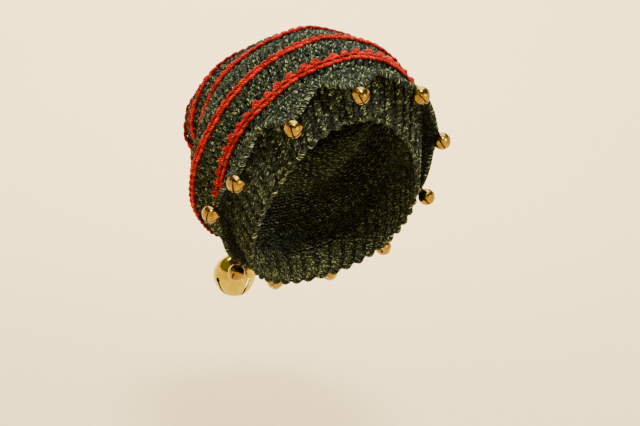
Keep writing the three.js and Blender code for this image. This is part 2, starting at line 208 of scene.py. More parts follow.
def surface(place, angle):
    """The outer point, the outward direction and the direction towards the tail."""
    small = 0.001
    place, angle = np.broadcast_arrays(np.asarray(place, float), np.asarray(angle, float))
    towards_tail = unit(outer_point(place + small, angle) - outer_point(place - small, angle))
    round_it = outer_point(place, angle + small) - outer_point(place, angle - small)
    outward = unit(np.cross(round_it, towards_tail))
    return outer_point(place, angle), outward, towards_tail


def even_angle_shift():
    front_y, front_z, back_y, back_z, half = SECTION_ROWS[0][:5]
    depth_squared = ((front_y - back_y) ** 2 + (front_z - back_z) ** 2) / 4
    return (depth_squared - half ** 2) / (4 * (depth_squared + half ** 2))


def even_angle(angle):
    return angle - even_angle_shift() * np.sin(2 * angle)


def angle_from_even(even):
    angle = np.array(even, float)
    for _ in range(4):
        angle = even + even_angle_shift() * np.sin(2 * angle)
    return angle


def band_length(angle):
    return np.linalg.norm(outer_point(FIRST_STRIPE, angle) - outer_point(0, angle), axis=-1)


def first_stripe_place(angle):
    step = 0.5
    span = outer_point(FIRST_STRIPE + step, angle) - outer_point(FIRST_STRIPE, angle)
    reach = np.linalg.norm(span, axis=-1)
    return FIRST_STRIPE + step * np.minimum(FIRST_STRIPE_RISE / reach, HIGHEST_FIRST_STRIPE)


def seat():
    point, outward, _ = surface(SEAT_SECTION, 0.0)
    return point - CROWN_WALL * outward


SEAT = seat()

# The slow unevenness of the cloth: height, waves along the hat, waves round it and start
LUMPS = [
    (0.55, 0.9, 3, 0.4),
    (0.45, 1.7, 5, 2.1),
    (0.35, 2.6, 8, 4.0),
    (0.25, 3.4, 13, 1.3),
]


def lumps(place, angle):
    return sum(
        height * np.sin(along * place + start) * np.cos(around * angle + start * along)
        for height, along, around, start in LUMPS
    )


def uneven_surface(place, angle):
    point, outward, towards_tail = surface(place, angle)
    return point + outward * lumps(place, angle)[..., None], outward, towards_tail


# The cuff, a ruffled layer that turns outwards below the first stripe

def cuff_edge(angle):
    turn = np.degrees(angle)
    past = np.mod(turn[..., None] - CUFF_POINTS[:, 0], 360)
    before = np.argmin(past, axis=-1)
    after = (before + 1) % len(CUFF_POINTS)
    span = np.mod(CUFF_POINTS[after, 0] - CUFF_POINTS[before, 0], 360)
    share = np.min(past, axis=-1) / span
    pointed = np.abs(np.cos(math.pi * share)) ** 1.5
    blend = (1 - np.cos(math.pi * share)) / 2
    reach = (CUFF_POINTS[before, 1] * (1 - blend) + CUFF_POINTS[after, 1] * blend) * CUFF_REACH
    drop = (CUFF_POINTS[before, 2] * (1 - blend) + CUFF_POINTS[after, 2] * blend) * CUFF_DROP
    out = VALLEY_REACH + (reach - VALLEY_REACH) * pointed
    down = VALLEY_DROP + (drop - VALLEY_DROP) * pointed
    sag = VALLEY_SAG + (drop / 2 - VALLEY_SAG) * pointed
    return out, down, sag


def cuff_middle(share, angle):
    share, angle = np.broadcast_arrays(np.asarray(share, float), np.asarray(angle, float))
    root = FIRST_STRIPE * (1 - CUFF_ROOT_DROP / band_length(angle))
    point, outward, towards_tail = surface(root, angle)
    out_edge, down_edge, sag = cuff_edge(angle)
    out = 2 * share * (1 - share) * CUFF_BEND + share * share * out_edge
    down = 2 * share * (1 - share) * sag + share * share * down_edge
    clear = TOUCH_GAP + CUFF_WALL / 2
    return point + outward * (clear + out)[..., None] - towards_tail * down[..., None]


def cuff_surface(share, angle):
    """The middle of the cuff, its upper side's direction and the direction to its free edge."""
    small = 0.002
    share, angle = np.broadcast_arrays(np.asarray(share, float), np.asarray(angle, float))
    to_edge = unit(cuff_middle(share + small, angle) - cuff_middle(share - small, angle))
    round_it = cuff_middle(share, angle + small) - cuff_middle(share, angle - small)
    upper = unit(np.cross(to_edge, round_it))
    return cuff_middle(share, angle), upper, to_edge


# Meshes from arrays

# Range of the shade attribute, which holds random tone and painted shade; the darkest is the painted shade
# of the lining walls.
DARKEST_SHADE = -1.0
LIGHTEST_SHADE = 1.0
LONGEST_START = 40.0
UNDERSIDE_SHADE_CURVE = 1.3


class MeshParts:
    """Points, faces and the yarn's own coordinates, gathered into one mesh."""

    def __init__(self):
        self.points = []
        self.quads = []
        self.triangles = []
        self.strands = []
        self.shades = []
        self.count = 0

    def add(self, points, quads, triangles, strand=None, shade=None):
        total = len(points)
        self.points.append(points)
        self.quads.append(np.asarray(quads, int).reshape(-1, 4) + self.count)
        self.triangles.append(np.asarray(triangles, int).reshape(-1, 3) + self.count)
        self.strands.append(np.zeros((total, 3)) if strand is None else strand)
        self.shades.append(np.zeros(total) if shade is None else shade)
        self.count += total

    def build(self, name, material, body, replaced):
        points = (np.concatenate(self.points) - SEAT) * METRES
        quads = np.concatenate(self.quads)
        triangles = np.concatenate(self.triangles)
        mesh = bpy.data.meshes.new(name)
        mesh.vertices.add(len(points))
        mesh.vertices.foreach_set("co", points.ravel())
        mesh.loops.add(4 * len(quads) + 3 * len(triangles))
        mesh.loops.foreach_set("vertex_index", np.concatenate([quads.ravel(), triangles.ravel()]))
        mesh.polygons.add(len(quads) + len(triangles))
        starts = np.concatenate([4 * np.arange(len(quads)), 4 * len(quads) + 3 * np.arange(len(triangles))])
        mesh.polygons.foreach_set("loop_start", starts)
        strand = mesh.attributes.new("strand", "FLOAT_VECTOR", "POINT")
        strand.data.foreach_set("vector", np.concatenate(self.strands).ravel())
        # The shade attribute holds a random tone for each strand and painted shade.
        shade = mesh.attributes.new("shade", "FLOAT", "POINT")
        shade.data.foreach_set("value", np.concatenate(self.shades))
        mesh.update(calc_edges=True)
        mesh.validate()
        mesh.shade_smooth()
        mesh.materials.append(material)
        piece = bpy.data.objects.new(name, mesh)
        bpy.context.scene.collection.objects.link(piece)
        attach(piece, body)
        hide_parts(*replaced)
        return piece


def tube_frames(centres, ups, closed):
    if closed:
        tangents = np.roll(centres, -1, axis=1) - np.roll(centres, 1, axis=1)
    else:
        tangents = np.gradient(centres, axis=1)
    tangents = unit(tangents)
    side = unit(np.cross(tangents, ups))
    return side, np.cross(side, tangents)


def strand_faces(count, rings, sides, closed):
    """The quads round each strand, and the triangles at the two tips of an open one."""
    per_strand = rings * sides + (0 if closed else 2)
    start = (np.arange(count) * per_strand)[:, None]
    corner = np.arange(sides)
    following = (corner + 1) % sides
    band = np.arange(rings if closed else rings - 1)[None, :, None]
    here = start[..., None] + band * sides
    there = start[..., None] + (band + 1) % rings * sides
    quads = np.stack([here + corner, here + following, there + following, there + corner], axis=-1)
    if closed:
        return quads, []
    last_ring = start + (rings - 1) * sides
    first_tip = np.broadcast_to(start + rings * sides, (count, sides))
    first = np.stack([first_tip, start + following, start + corner], axis=-1)
    last = np.stack([first_tip + 1, last_ring + corner, last_ring + following], axis=-1)
    return quads, np.concatenate([first.reshape(-1, 3), last.reshape(-1, 3)])


def add_strands(parts, centres, radii, ups, sides=6, closed=False, underside_shade=1.0, depth_shade=0.0):
    """Round strands of yarn. centres and ups are (strands, points, 3) and radii fits them.
    An open strand is pointed at both ends. The underside weight paints shade on its underside, and the
    depth weight paints shade along its sunk lengths."""
    count, steps = centres.shape[:2]
    radii = np.broadcast_to(radii, (count, steps))
    side, up = tube_frames(centres, ups, closed)
    lengths = np.linalg.norm(np.diff(centres, axis=1), axis=-1)
    travelled = np.concatenate([np.zeros((count, 1)), np.cumsum(lengths, axis=1)], axis=1)
    travelled = travelled + rng.uniform(0, LONGEST_START, (count, 1))
    # A random tone for each strand, less the painted shade of its sunk lengths.
    strand_shade = rng.uniform(0, 1, (count, 1)) - np.broadcast_to(depth_shade, (count, steps))
    turns = even_turns(sides, 0.5)
    inner = slice(None) if closed else slice(1, -1)
    offset = np.cos(turns)[:, None] * side[:, inner, None] + np.sin(turns)[:, None] * up[:, inner, None]
    points = centres[:, inner, None] + radii[:, inner, None, None] * offset
    rings = points.shape[1]
    along = np.broadcast_to(travelled[:, inner, None], (count, rings, sides))
    cosines = np.broadcast_to(np.cos(turns), along.shape)
    sines = np.broadcast_to(np.sin(turns), along.shape)
    # Painted shade on the underside of each strand, strongest at the bottom.
    shade = strand_shade[:, inner, None] - underside_shade * ((1 - sines) / 2) ** UNDERSIDE_SHADE_CURVE
    points = points.reshape(count, -1, 3)
    strand = np.stack([along, cosines, sines], axis=-1).reshape(count, -1, 3)
    shade = shade.reshape(count, -1)
    if not closed:
        tips = [0, -1]
        tip_strand = np.stack([travelled, np.ones_like(travelled), np.zeros_like(travelled)], axis=-1)
        points = np.concatenate([points, centres[:, tips]], axis=1)
        strand = np.concatenate([strand, tip_strand[:, tips]], axis=1)
        # The pointed tips get painted shade as well.
        shade = np.concatenate([shade, strand_shade[:, tips] - underside_shade / 2], axis=1)
    quads, triangles = strand_faces(count, rings, sides, closed)
    shade = np.clip(shade, DARKEST_SHADE, LIGHTEST_SHADE).ravel()
    parts.add(points.reshape(-1, 3), quads, triangles, strand.reshape(-1, 3), shade)


def add_shell(parts, outside, inside, cap_last=False):
    """A closed wall between two grids of points, (rows, columns, 3), each closed round."""
    rows, columns = outside.shape[:2]
    points = np.concatenate([outside.reshape(-1, 3), inside.reshape(-1, 3)])
    column = np.arange(columns)
    following = (column + 1) % columns
    row = np.arange(rows - 1)[:, None] * columns
    outer = np.stack([row + column, row + following, row + columns + following, row + columns + column], -1)
    shift = rows * columns
    inner = outer[..., ::-1] + shift
    rim = np.stack([column, column + shift, following + shift, following], -1)
    quads = [outer.reshape(-1, 4), inner.reshape(-1, 4), rim]
    triangles = []
    last = (rows - 1) * columns + column
    after_last = (rows - 1) * columns + following
    if cap_last:
        points = np.concatenate([points, outside[-1].mean(0)[None], inside[-1].mean(0)[None]])
        tip = np.full(columns, 2 * shift)
        outer_cap = np.stack([tip, last, after_last], -1)
        inner_cap = np.stack([tip + 1, after_last + shift, last + shift], -1)
        triangles = np.concatenate([outer_cap, inner_cap])
    else:
        quads.append(np.stack([after_last, after_last + shift, last + shift, last], -1))
    # The wall carries the darkest shade, painted as the shade in the gaps between the stitches.
    shade = np.full(len(points), DARKEST_SHADE)
    parts.add(points, np.concatenate(quads), triangles, shade=shade)


def add_lining(parts, layer, places, columns, depths, cap_last=False):
    """A thin wall behind the stitches, painted dark as the shade between them. depths are its two faces
    below the layer.
    """
    place, angle = np.meshgrid(places, even_turns(columns), indexing="ij")
    middle, outward, _ = layer(place, angle)
    add_shell(parts, middle - depths[0] * outward, middle - depths[1] * outward, cap_last)


# Stitches. Each is a V of two short strands that bulge outwards and tuck under their neighbours.
# Across a stitch the unit is half its width, along the hat it is the height of its round,
# and the bulges are shares of the lift.

STITCH_WIDTH = 7.2
LEG_STEPS = np.array([0.0, 0.12, 0.40, 0.68, 0.90, 1.0])
LEG_THICKNESS = np.array([0.0, 0.80, 1.0, 1.0, 0.78, 0.0])
LEG_START = 0.16
LEG_SPREAD = 0.46
LEG_SLANT = 0.12
LEG_TUCK = 0.22
LEG_LENGTH = 1.30
LEG_BULGE = 1.9
# Painted shade at the tucked ends of each leg.
LEG_END_SHADE = 0.8
# Painted shade in the valleys between the ribs.
RIB_VALLEY_SHADE = 0.45
BAR_STEPS = np.array([-1.0, -0.62, 0.0, 0.62, 1.0])
BAR_THICKNESS = np.array([0.0, 0.72, 0.86, 0.72, 0.0])
BAR_HALF = 0.95
BAR_PLACE = 0.93
BAR_SLOPE = 0.22
BAR_BULGE = 1.25
BAR_TUCK = 2.1
# Painted shade at the tucked ends of each bar.
BAR_END_SHADE = 0.4
BACK_POINTS = 3
BACK_SWING = 0.4
BACK_WAVE = 0.5


def stitches_round(place):
    points = outer_point(place, even_turns(72))
    length = np.linalg.norm(np.roll(points, -1, axis=0) - points, axis=-1).sum()
    return int(round(length / STITCH_WIDTH))


def stitch_rows(places, counts, brick):
    """A (start, end, angles, half angle) for each round. brick shifts one against the last."""
    return [
        (start, end, even_turns(count, brick * index), math.pi / count)
        for index, (start, end, count) in enumerate(zip(places[:-1], places[1:], counts))
    ]


def add_stitches(parts, layer, rows, radius, lift, messy, slant=LEG_SLANT, depth_at=None):
    """Rounds of stitches on a layer. lift is how far they stand out and messy how uneven they are.
    depth_at gives the height of the ribs."""
    counts = [len(angles) for _, _, angles, _ in rows]
    starts, ends, halves = (np.repeat([row[column] for row in rows], counts) for column in (0, 1, 3))
    angles = np.concatenate([angles for _, _, angles, _ in rows])
    arch = np.sin(math.pi * LEG_STEPS ** 0.9)
    for side in (-1, 1):
        wobble = rng.normal(0, messy, (4, len(angles), 1))
        spread = LEG_START + (LEG_SPREAD + wobble[0]) * LEG_STEPS ** 0.8
        sideways = side * spread + slant * (LEG_STEPS - 0.5) + wobble[1]
        angle = angles[:, None] + halves[:, None] * sideways
        reach = -LEG_TUCK + (LEG_LENGTH + 0.6 * wobble[2]) * LEG_STEPS
        place = starts[:, None] + (ends - starts)[:, None] * reach
        point, outward, _ = layer(place, angle)
        bulge = lift * (LEG_BULGE * arch - 1.0 + 1.5 * wobble[3])
        # Painted shade on the tucked ends of the legs.
        depth_shade = LEG_END_SHADE * (1 - arch) ** 1.5
        if depth_at is not None:
            deep = depth_at(angle)
            bulge = bulge + deep
            # Painted shade in the rib valleys.
            depth_shade = depth_shade + RIB_VALLEY_SHADE * (1 - deep / RIB_HEIGHT)
        centres = point + outward * bulge[..., None]
        add_strands(parts, centres, radius * LEG_THICKNESS * (1 + 0.5 * wobble[0]), outward, depth_shade=depth_shade)
    add_bars(parts, layer, (starts, ends, angles, halves), radius, lift, messy, depth_at)


def add_bars(parts, layer, stitches, radius, lift, messy, depth_at):
    """A short strand across the head of each stitch, between the two legs of the next one."""
    starts, ends, angles, halves = (values[:, None] for values in stitches)
    wobble = rng.normal(0, messy, (3, len(starts), 1))
    angle = angles + halves * (BAR_HALF + wobble[0]) * BAR_STEPS
    reach = BAR_PLACE + (BAR_SLOPE + wobble[1]) * BAR_STEPS + 0.5 * wobble[2]
    place = starts + (ends - starts) * reach
    point, outward, _ = layer(place, angle)
    bulge = lift * (BAR_BULGE - BAR_TUCK * BAR_STEPS ** 2 + 1.5 * wobble[0])
    if depth_at is not None:
        bulge = bulge + depth_at(angle)
    centres = point + outward * bulge[..., None]
    # Painted shade on the tucked ends of the bar.
    depth_shade = BAR_END_SHADE * BAR_STEPS ** 2
    add_strands(parts, centres, radius * BAR_THICKNESS, outward, sides=4, depth_shade=depth_shade)


def add_back_rows(parts, layer, places, depth, radius):
    """Waving strands on the inner face, one at each place, as the back of crochet shows."""
    for index, place in enumerate(places):
        waves = stitches_round(place)
        angle = even_turns(BACK_POINTS * waves, BACK_POINTS / 2 * (index % 2))
        point, outward, along = layer(np.full(angle.shape, place), angle)
        wave = np.cos(waves * angle)
        inwards = (depth + BACK_SWING * wave)[:, None]
        centres = point - outward * inwards + along * (BACK_WAVE * wave)[:, None]
        add_strands(parts, centres[None], radius, -outward[None], sides=4, closed=True)


# Materials

def new_material(name):
    material = bpy.data.materials.new(name)
    material.use_nodes = True
    tree = material.node_tree
    shader = tree.nodes["Principled BSDF"]
    return material, tree, shader


def node(tree, kind, settings=None, **inputs):
    """A new node. settings are its properties, and inputs are named or are i and a number."""
    made = tree.nodes.new(kind)
    for key, value in (settings or {}).items():
        setattr(made, key, value)
    for key, value in inputs.items():
        socket = made.inputs[int(key[1:])] if key[0] == "i" and key[1:].isdigit() else made.inputs[key]
        if isinstance(value, bpy.types.NodeSocket):
            tree.links.new(value, socket)
        else:
            socket.default_value = value
    return made


def maths(tree, operation, first, second=0.0):
    return node(tree, "ShaderNodeMath", {"operation": operation}, i0=first, i1=second).outputs[0]


def times(tree, first, second):
    return maths(tree, "MULTIPLY", first, second)


def plus(tree, first, second):
    return maths(tree, "ADD", first, second)


def map_range(tree, value, old, new):
    made = node(tree, "ShaderNodeMapRange", i0=value, i1=old[0], i2=old[1], i3=new[0], i4=new[1])
    return made.outputs[0]


def noise(tree, vector, scale, detail, roughness):
    sockets = {"Vector": vector, "Scale": scale, "Detail": detail, "Roughness": roughness}
    return node(tree, "ShaderNodeTexNoise", **sockets).outputs[0]


def ramp(tree, value, stops):
    made = node(tree, "ShaderNodeValToRGB", i0=value)
    elements = made.color_ramp.elements
    while len(elements) < len(stops):
        elements.new(0.5)
    for element, (position, colour) in zip(elements, stops):
        element.position = position
        element.color = (*colour, 1.0)
    return made.outputs[0]


def mix_colours(tree, share, first, second):
    settings = {"data_type": "RGBA", "clamp_factor": False}
    made = node(tree, "ShaderNodeMix", settings, i0=share, i6=first, i7=second)
    return made.outputs[2]


def yarn_coordinates(tree, pitch):
    """The distance along a strand, the turn of its plies, and a point that stays on one ply."""
    strand = node(tree, "ShaderNodeAttribute", {"attribute_name": "strand"}).outputs["Vector"]
    parts = node(tree, "ShaderNodeSeparateXYZ", i0=strand)
    distance = parts.outputs[0]
    turn = maths(tree, "ARCTAN2", parts.outputs[2], parts.outputs[1])
    twist = plus(tree, turn, times(tree, distance, FULL_TURN / pitch))
    round_ply = [maths(tree, kind, twist) for kind in ("COSINE", "SINE")]
    return distance, twist, round_ply


def ply_noise(tree, coordinates, across, along, shift, detail=2.0):
    """Noise drawn out along the plies. across and along are its grains for a turn and a mm."""
    distance, _, round_ply = coordinates
    vector = node(
        tree, "ShaderNodeCombineXYZ",
        i0=times(tree, round_ply[0], across),
        i1=times(tree, round_ply[1], across),
        i2=plus(tree, times(tree, distance, along), shift),
    ).outputs[0]
    return noise(tree, vector, 1.0, detail, 0.55)


FLECK_SHARPNESS = 30.0
YARN_LIGHT = (0.03, 1.3)
YARN_BUMP = 0.0006
BRASS_BUMP = 0.0002


def yarn_material(name, pitch, plies, colours, flecks, rough):
    """Twisted yarn. colours are the hollow, the body and the crest of a ply; the dark hollows are painted
    shade between the plies, mixed with random fibre tone.
    flecks is a list of (colour, grains for a turn, grains for a mm, threshold) for the slubs and nubs of
    tweed."""
    material, tree, shader = new_material(name)
    coordinates = yarn_coordinates(tree, pitch)
    ply = maths(tree, "ABSOLUTE", maths(tree, "SINE", times(tree, coordinates[1], plies / 2)))
    place = node(tree, "ShaderNodeTexCoord").outputs["Object"]
    broad = noise(tree, place, 140.0, 3.0, 0.6)
    fibres = ply_noise(tree, coordinates, across=2.4, along=0.5, shift=0.0, detail=4.0)
    # The tone is darkest in the hollows between plies, as painted shade, and varies at random with the
    # fibres and broad noise.
    tone = plus(tree, times(tree, ply, 0.5), times(tree, fibres, 0.75))
    tone = plus(tree, tone, times(tree, maths(tree, "SUBTRACT", broad, 0.5), 0.5))
    colour = ramp(tree, tone, [(0.20, colours[0]), (0.62, colours[1]), (1.0, colours[2])])
    for index, (fleck_colour, across, along, threshold) in enumerate(flecks):
        slub = ply_noise(tree, coordinates, across, along, 7.0 * (index + 1))
        mask = times(tree, maths(tree, "SUBTRACT", slub, threshold), FLECK_SHARPNESS)
        mask = maths(tree, "MINIMUM", maths(tree, "MAXIMUM", mask, 0.0), 1.0)
        colour = mix_colours(tree, mask, colour, (*fleck_colour, 1.0))
    # The shade attribute darkens the colour: random tone for each strand, and painted shade on undersides,
    # tucked ends, rib valleys and the lining walls.
    shade = node(tree, "ShaderNodeAttribute", {"attribute_name": "shade"}).outputs["Fac"]
    light = map_range(tree, shade, (DARKEST_SHADE, LIGHTEST_SHADE), YARN_LIGHT)
    colour = mix_colours(tree, light, (0.0, 0.0, 0.0, 1.0), colour)
    tree.links.new(colour, shader.inputs["Base Color"])
    shader.inputs["Roughness"].default_value = rough
    shader.inputs["Specular IOR Level"].default_value = 0.12
    shader.inputs["Sheen Weight"].default_value = 0.03
    shader.inputs["Sheen Roughness"].default_value = 0.5
    height = plus(tree, ply, times(tree, fibres, 0.9))
    bump = node(tree, "ShaderNodeBump", Strength=1.0, Distance=YARN_BUMP, Height=height)
    tree.links.new(bump.outputs[0], shader.inputs["Normal"])
    return material


def brass_material(name, dull, body, bright):
    material, tree, shader = new_material(name)
    place = node(tree, "ShaderNodeTexCoord").outputs["Object"]
    cloud = noise(tree, place, 180.0, 4.0, 0.6)
    fine = noise(tree, place, 1400.0, 3.0, 0.6)
    colour = ramp(tree, cloud, [(0.25, dull), (0.55, body), (0.8, bright)])
    rough = map_range(tree, fine, (0.3, 0.75), (0.08, 0.22))
    bump = node(tree, "ShaderNodeBump", Strength=0.25, Distance=BRASS_BUMP, Height=fine)
    tree.links.new(colour, shader.inputs["Base Color"])
    tree.links.new(rough, shader.inputs["Roughness"])
    tree.links.new(bump.outputs[0], shader.inputs["Normal"])
    shader.inputs["Metallic"].default_value = 1.0
    return material


GREEN_YARN = yarn_material(
    "Green tweed yarn", pitch=7.0, plies=3, rough=0.97,
    colours=[(0.0009, 0.0016, 0.0014), (0.0044, 0.0072, 0.0051), (0.0240, 0.0350, 0.0205)],
    flecks=[((0.10, 0.14, 0.068), 1.7, 0.26, 0.59), ((0.68, 0.84, 0.38), 1.4, 0.24, 0.62)],
)
RED_YARN = yarn_material(
    "Red tweed yarn", pitch=5.5, plies=3, rough=0.9,
    colours=[(0.04, 0.0004, 0.0006), (0.38, 0.0026, 0.0016), (0.76, 0.0090, 0.0045)],
    flecks=[
        ((0.95, 0.70, 0.005), 0.7, 0.20, 0.655),
        ((0.03, 0.10, 0.50), 0.9, 0.30, 0.720),
        ((0.20, 0.50, 0.06), 0.9, 0.30, 0.705),
    ],
)
SMALL_BRASS = brass_material(
    "Old brass", dull=(0.14, 0.077, 0.009), body=(0.30, 0.190, 0.027), bright=(0.48, 0.335, 0.065),
)
LARGE_BRASS = brass_material(
    "Bright brass", dull=(0.36, 0.27, 0.003), body=(0.52, 0.405, 0.006), bright=(0.62, 0.50, 0.015),
)


# The crown, in three stretches of crocheted rounds over a thin lining wall of the same yarn.
# A BACK is the depth and the radius of the back rows, and a LINING the depths of its faces.

CROWN_CUTS = [1, 3, 7, LAST_SECTION]
CROWN_YARN = 1.5
CROWN_LIFT = 1.25
CROWN_MESSY = 0.15
CROWN_BRICK = 0.37
CROWN_BACK = (1.15, 1.05)
CROWN_LINING = (0.1, 0.9)
LINING_COLUMNS = 96
ROUND_SPACING = 2 / 7
PAST_TIP = 0.6


def crown_layer(place, angle):
    point, outward, along = uneven_surface(np.minimum(place, LAST_SECTION + PAST_TIP), angle)
    return point - (CROWN_WALL / 2) * outward, outward, along


def crown_piece(name, first_place, last_place):
    first_round = round((first_place - FIRST_STRIPE) / ROUND_SPACING)
    last_round = math.ceil((last_place - FIRST_STRIPE) / ROUND_SPACING - 0.01)
    rounds = last_round - first_round
    places = FIRST_STRIPE + ROUND_SPACING * np.arange(first_round, last_round + 1)
    places = np.minimum(places, LAST_SECTION)
    parts = MeshParts()
    rows = stitch_rows(places, [stitches_round(place) for place in places[:-1]], CROWN_BRICK)
    add_stitches(parts, crown_layer, rows, CROWN_YARN, CROWN_LIFT, CROWN_MESSY)
    half_rounds = np.linspace(places[0], places[-1], 2 * rounds + 1)[:-1]
    add_back_rows(parts, crown_layer, half_rounds, *CROWN_BACK)
    lining_places = np.linspace(places[0], places[-1], 3 * rounds // 2)
    at_tip = last_place == LAST_SECTION
    add_lining(parts, crown_layer, lining_places, LINING_COLUMNS, CROWN_LINING, cap_last=at_tip)
    parts.build(f"{name}_knit", GREEN_YARN, "hat", [name])


for piece_name, piece_start, piece_end in zip(("front", "top", "tail"), CROWN_CUTS[:-1], CROWN_CUTS[1:]):
    crown_piece(f"crown_{piece_name}", piece_start, piece_end)


# The ribbed headband

BAND_YARN = 1.65
BAND_LIFT = 0.7
BAND_MESSY = 0.07
BAND_ROUNDS = 8
BAND_SHIFT = 0.02
BAND_BACK = (1.1, 1.1)
BAND_LINING = (0.2, 1.2)
SCALLOP_YARN = 1.8
SCALLOP_SWELL = 0.25
SCALLOP_DROP = 0.2
SCALLOP_STRETCH = 1.2


def band_layer(place, angle):
    point, outward, along = surface(place, angle)
    return point - (BAND_WALL / 2) * outward, outward, along


def rib_depth(angle):
    return RIB_HEIGHT * (np.cos(RIB_COUNT * even_angle(angle)) * 0.9 - 0.1)


def add_scallops(parts):
    """A bumpy edge, one loop of yarn round the end of each rib."""
    angle = angle_from_even(even_turns(12 * RIB_COUNT))
    rib = np.cos(RIB_COUNT * even_angle(angle))
    point, outward, along = band_layer(0.0 * angle, angle)
    drop = SCALLOP_DROP + SCALLOP_STRETCH * RIB_SCALLOP * (0.5 + 0.5 * rib)
    centres = point - along * drop[:, None] + outward * (0.7 * RIB_HEIGHT * rib)[:, None]
    radii = SCALLOP_YARN + SCALLOP_SWELL * rib
    # Painted shade on the loops' undersides.
    add_strands(parts, centres[None], radii[None], outward[None], sides=7, closed=True, underside_shade=0.5)


def headband():
    parts = MeshParts()
    places = np.linspace(BAND_SHIFT, FIRST_STRIPE + BAND_SHIFT, BAND_ROUNDS + 1)
    angles = angle_from_even(even_turns(2 * RIB_COUNT))
    half = math.pi / (2 * RIB_COUNT)
    rows = [(start, end, angles, half) for start, end in zip(places[:-1], places[1:])]
    add_stitches(parts, band_layer, rows, BAND_YARN, BAND_LIFT, BAND_MESSY, slant=0.0, depth_at=rib_depth)
    half_rounds = np.linspace(places[0], places[-1], 2 * len(places) - 1)[:-1]
    add_back_rows(parts, band_layer, half_rounds, *BAND_BACK)
    add_lining(parts, band_layer, np.linspace(0.03, 0.99, 10), 4 * RIB_COUNT, BAND_LINING)
    add_scallops(parts)
    parts.build("headband_knit", GREEN_YARN, "hat", ["headband"])


headband()


# The cuff, and the ties of the small bells

CUFF_YARN = 1.4
CUFF_LIFT = 0.8
CUFF_MESSY = 0.13
CUFF_ROUNDS = 6
CUFF_STITCHES = 108
CUFF_BRICK = 0.5
CUFF_LINING = (-0.45, 0.45)
EDGE_YARN = 1.35
EDGE_SWING = 1.15
EDGE_TWISTS = 110
EDGE_INSET = 0.3
ROOT_YARN = 1.3
ROOT_SHIFT = 0.6
TIE_YARN = 0.75
TIP_GAP = 1.5 * TOUCH_GAP
NEAR_TIP = 0.7
BELL_LEAN = 0.6
UP = np.array([0.0, 0.0, 1.0])


def small_bell_seat(angle):
    """The centre of a small bell, the direction it points in and its turn."""
    tip = cuff_middle(1.0, angle)
    direction = unit(tip - cuff_middle(NEAR_TIP, angle))
    direction = unit(direction - BELL_LEAN * UP)
    eye_top = SMALL_BELL.eye_centre + SMALL_BELL.eye_hole + SMALL_BELL.eye_wire
    centre = tip + direction * (TIP_GAP + eye_top)
    turned = Vector(UP).rotation_difference(Vector(-direction)).to_matrix()
    return centre, direction, np.array(turned)


def add_bell_tie(parts, angle):
    """The ring of yarn that ties a small bell's eye to a point of the cuff."""
    _, direction, turned = small_bell_seat(angle)
    hole = turned @ np.array([0.0, 1.0, 0.0])
    turns = even_turns(16)
    radius = SMALL_BELL.eye_hole + SMALL_BELL.eye_wire + TIP_GAP
    tip = cuff_middle(1.0, angle)
    centres = tip + radius * (np.cos(turns)[:, None] * direction + np.sin(turns)[:, None] * hole)
    ups = np.broadcast_to(np.cross(direction, hole), centres.shape)
    add_strands(parts, centres[None], TIE_YARN, ups[None], closed=True)


def add_cuff_edges(parts):
    """Two strands twisted round the free edge, and one along the root."""
    angle = even_turns(960)
    point, upper, to_edge = cuff_surface(np.ones(len(angle)), angle)
    for phase in (0.0, math.pi):
        swing = EDGE_SWING * np.cos(angle * EDGE_TWISTS + phase)
        push = EDGE_SWING * np.sin(angle * EDGE_TWISTS + phase) - EDGE_INSET
        centres = point + upper * swing[:, None] + to_edge * push[:, None]
        # Painted shade on the twisted strands' undersides.
        add_strands(parts, centres[None], EDGE_YARN, upper[None], closed=True, underside_shade=0.4)
    angle = even_turns(240)
    point, upper, to_edge = cuff_surface(np.zeros(len(angle)), angle)
    add_strands(parts, (point + ROOT_SHIFT * to_edge)[None], ROOT_YARN, upper[None], closed=True)


def cuff_knit():
    parts = MeshParts()
    shares = np.linspace(0.0, 1.0, CUFF_ROUNDS + 1)
    rows = stitch_rows(shares, [CUFF_STITCHES] * CUFF_ROUNDS, CUFF_BRICK)
    add_stitches(parts, cuff_surface, rows, CUFF_YARN, CUFF_LIFT, CUFF_MESSY)
    add_lining(parts, cuff_surface, np.linspace(0.0, 0.98, 8), 2 * CUFF_STITCHES, CUFF_LINING)
    add_cuff_edges(parts)
    for angle in np.radians(CUFF_POINTS[:, 0]):
        add_bell_tie(parts, angle)
    parts.build("cuff_knit", GREEN_YARN, "hat", ["cuff"])


cuff_knit()


# The stripes, chains of linked loops

LINK_STEPS = np.array([0.0, 0.08, 0.22, 0.42, 0.62, 0.80, 0.93, 1.0])
LINK_WIDTH = np.array([0.30, 0.55, 1.35, 2.20, 2.40, 1.95, 1.15, 0.55])
LINK_HEIGHT = np.array([0.00, 0.70, 1.80, 2.50, 2.35, 1.60, 0.60, -0.10])
LINK_THICKNESS = np.array([0.0, 0.80, 1.0, 1.05, 1.05, 1.0, 0.75, 0.0])
LINK_LENGTH = 7.6
LINK_YARN = 1.5
LINK_START = -0.12
LINK_REACH = 1.32
LINK_MESSY = 0.06
# Painted shade at the tucked ends of each link.
LINK_END_SHADE = 1.1
STRIPE_SINK = -0.5
PATH_STEPS = 720
END_STEPS = np.array([0.0, 0.3, 0.6, 0.8])
END_REACH = np.array([-1.6, -2.9, -3.9, -4.6])
END_HEIGHT = np.array([1.3, 1.4, 0.9, -0.2])
END_THICKNESS = np.array([0.0, 0.9, 0.7, 0.0])
FIRST_STRIPE_ENDS = 0.7

# The waves of a stripe's path: height in sections, number round the hat, shift for each stripe
WANDER = [(0.018, 5, 1), (0.012, 11, 2)]

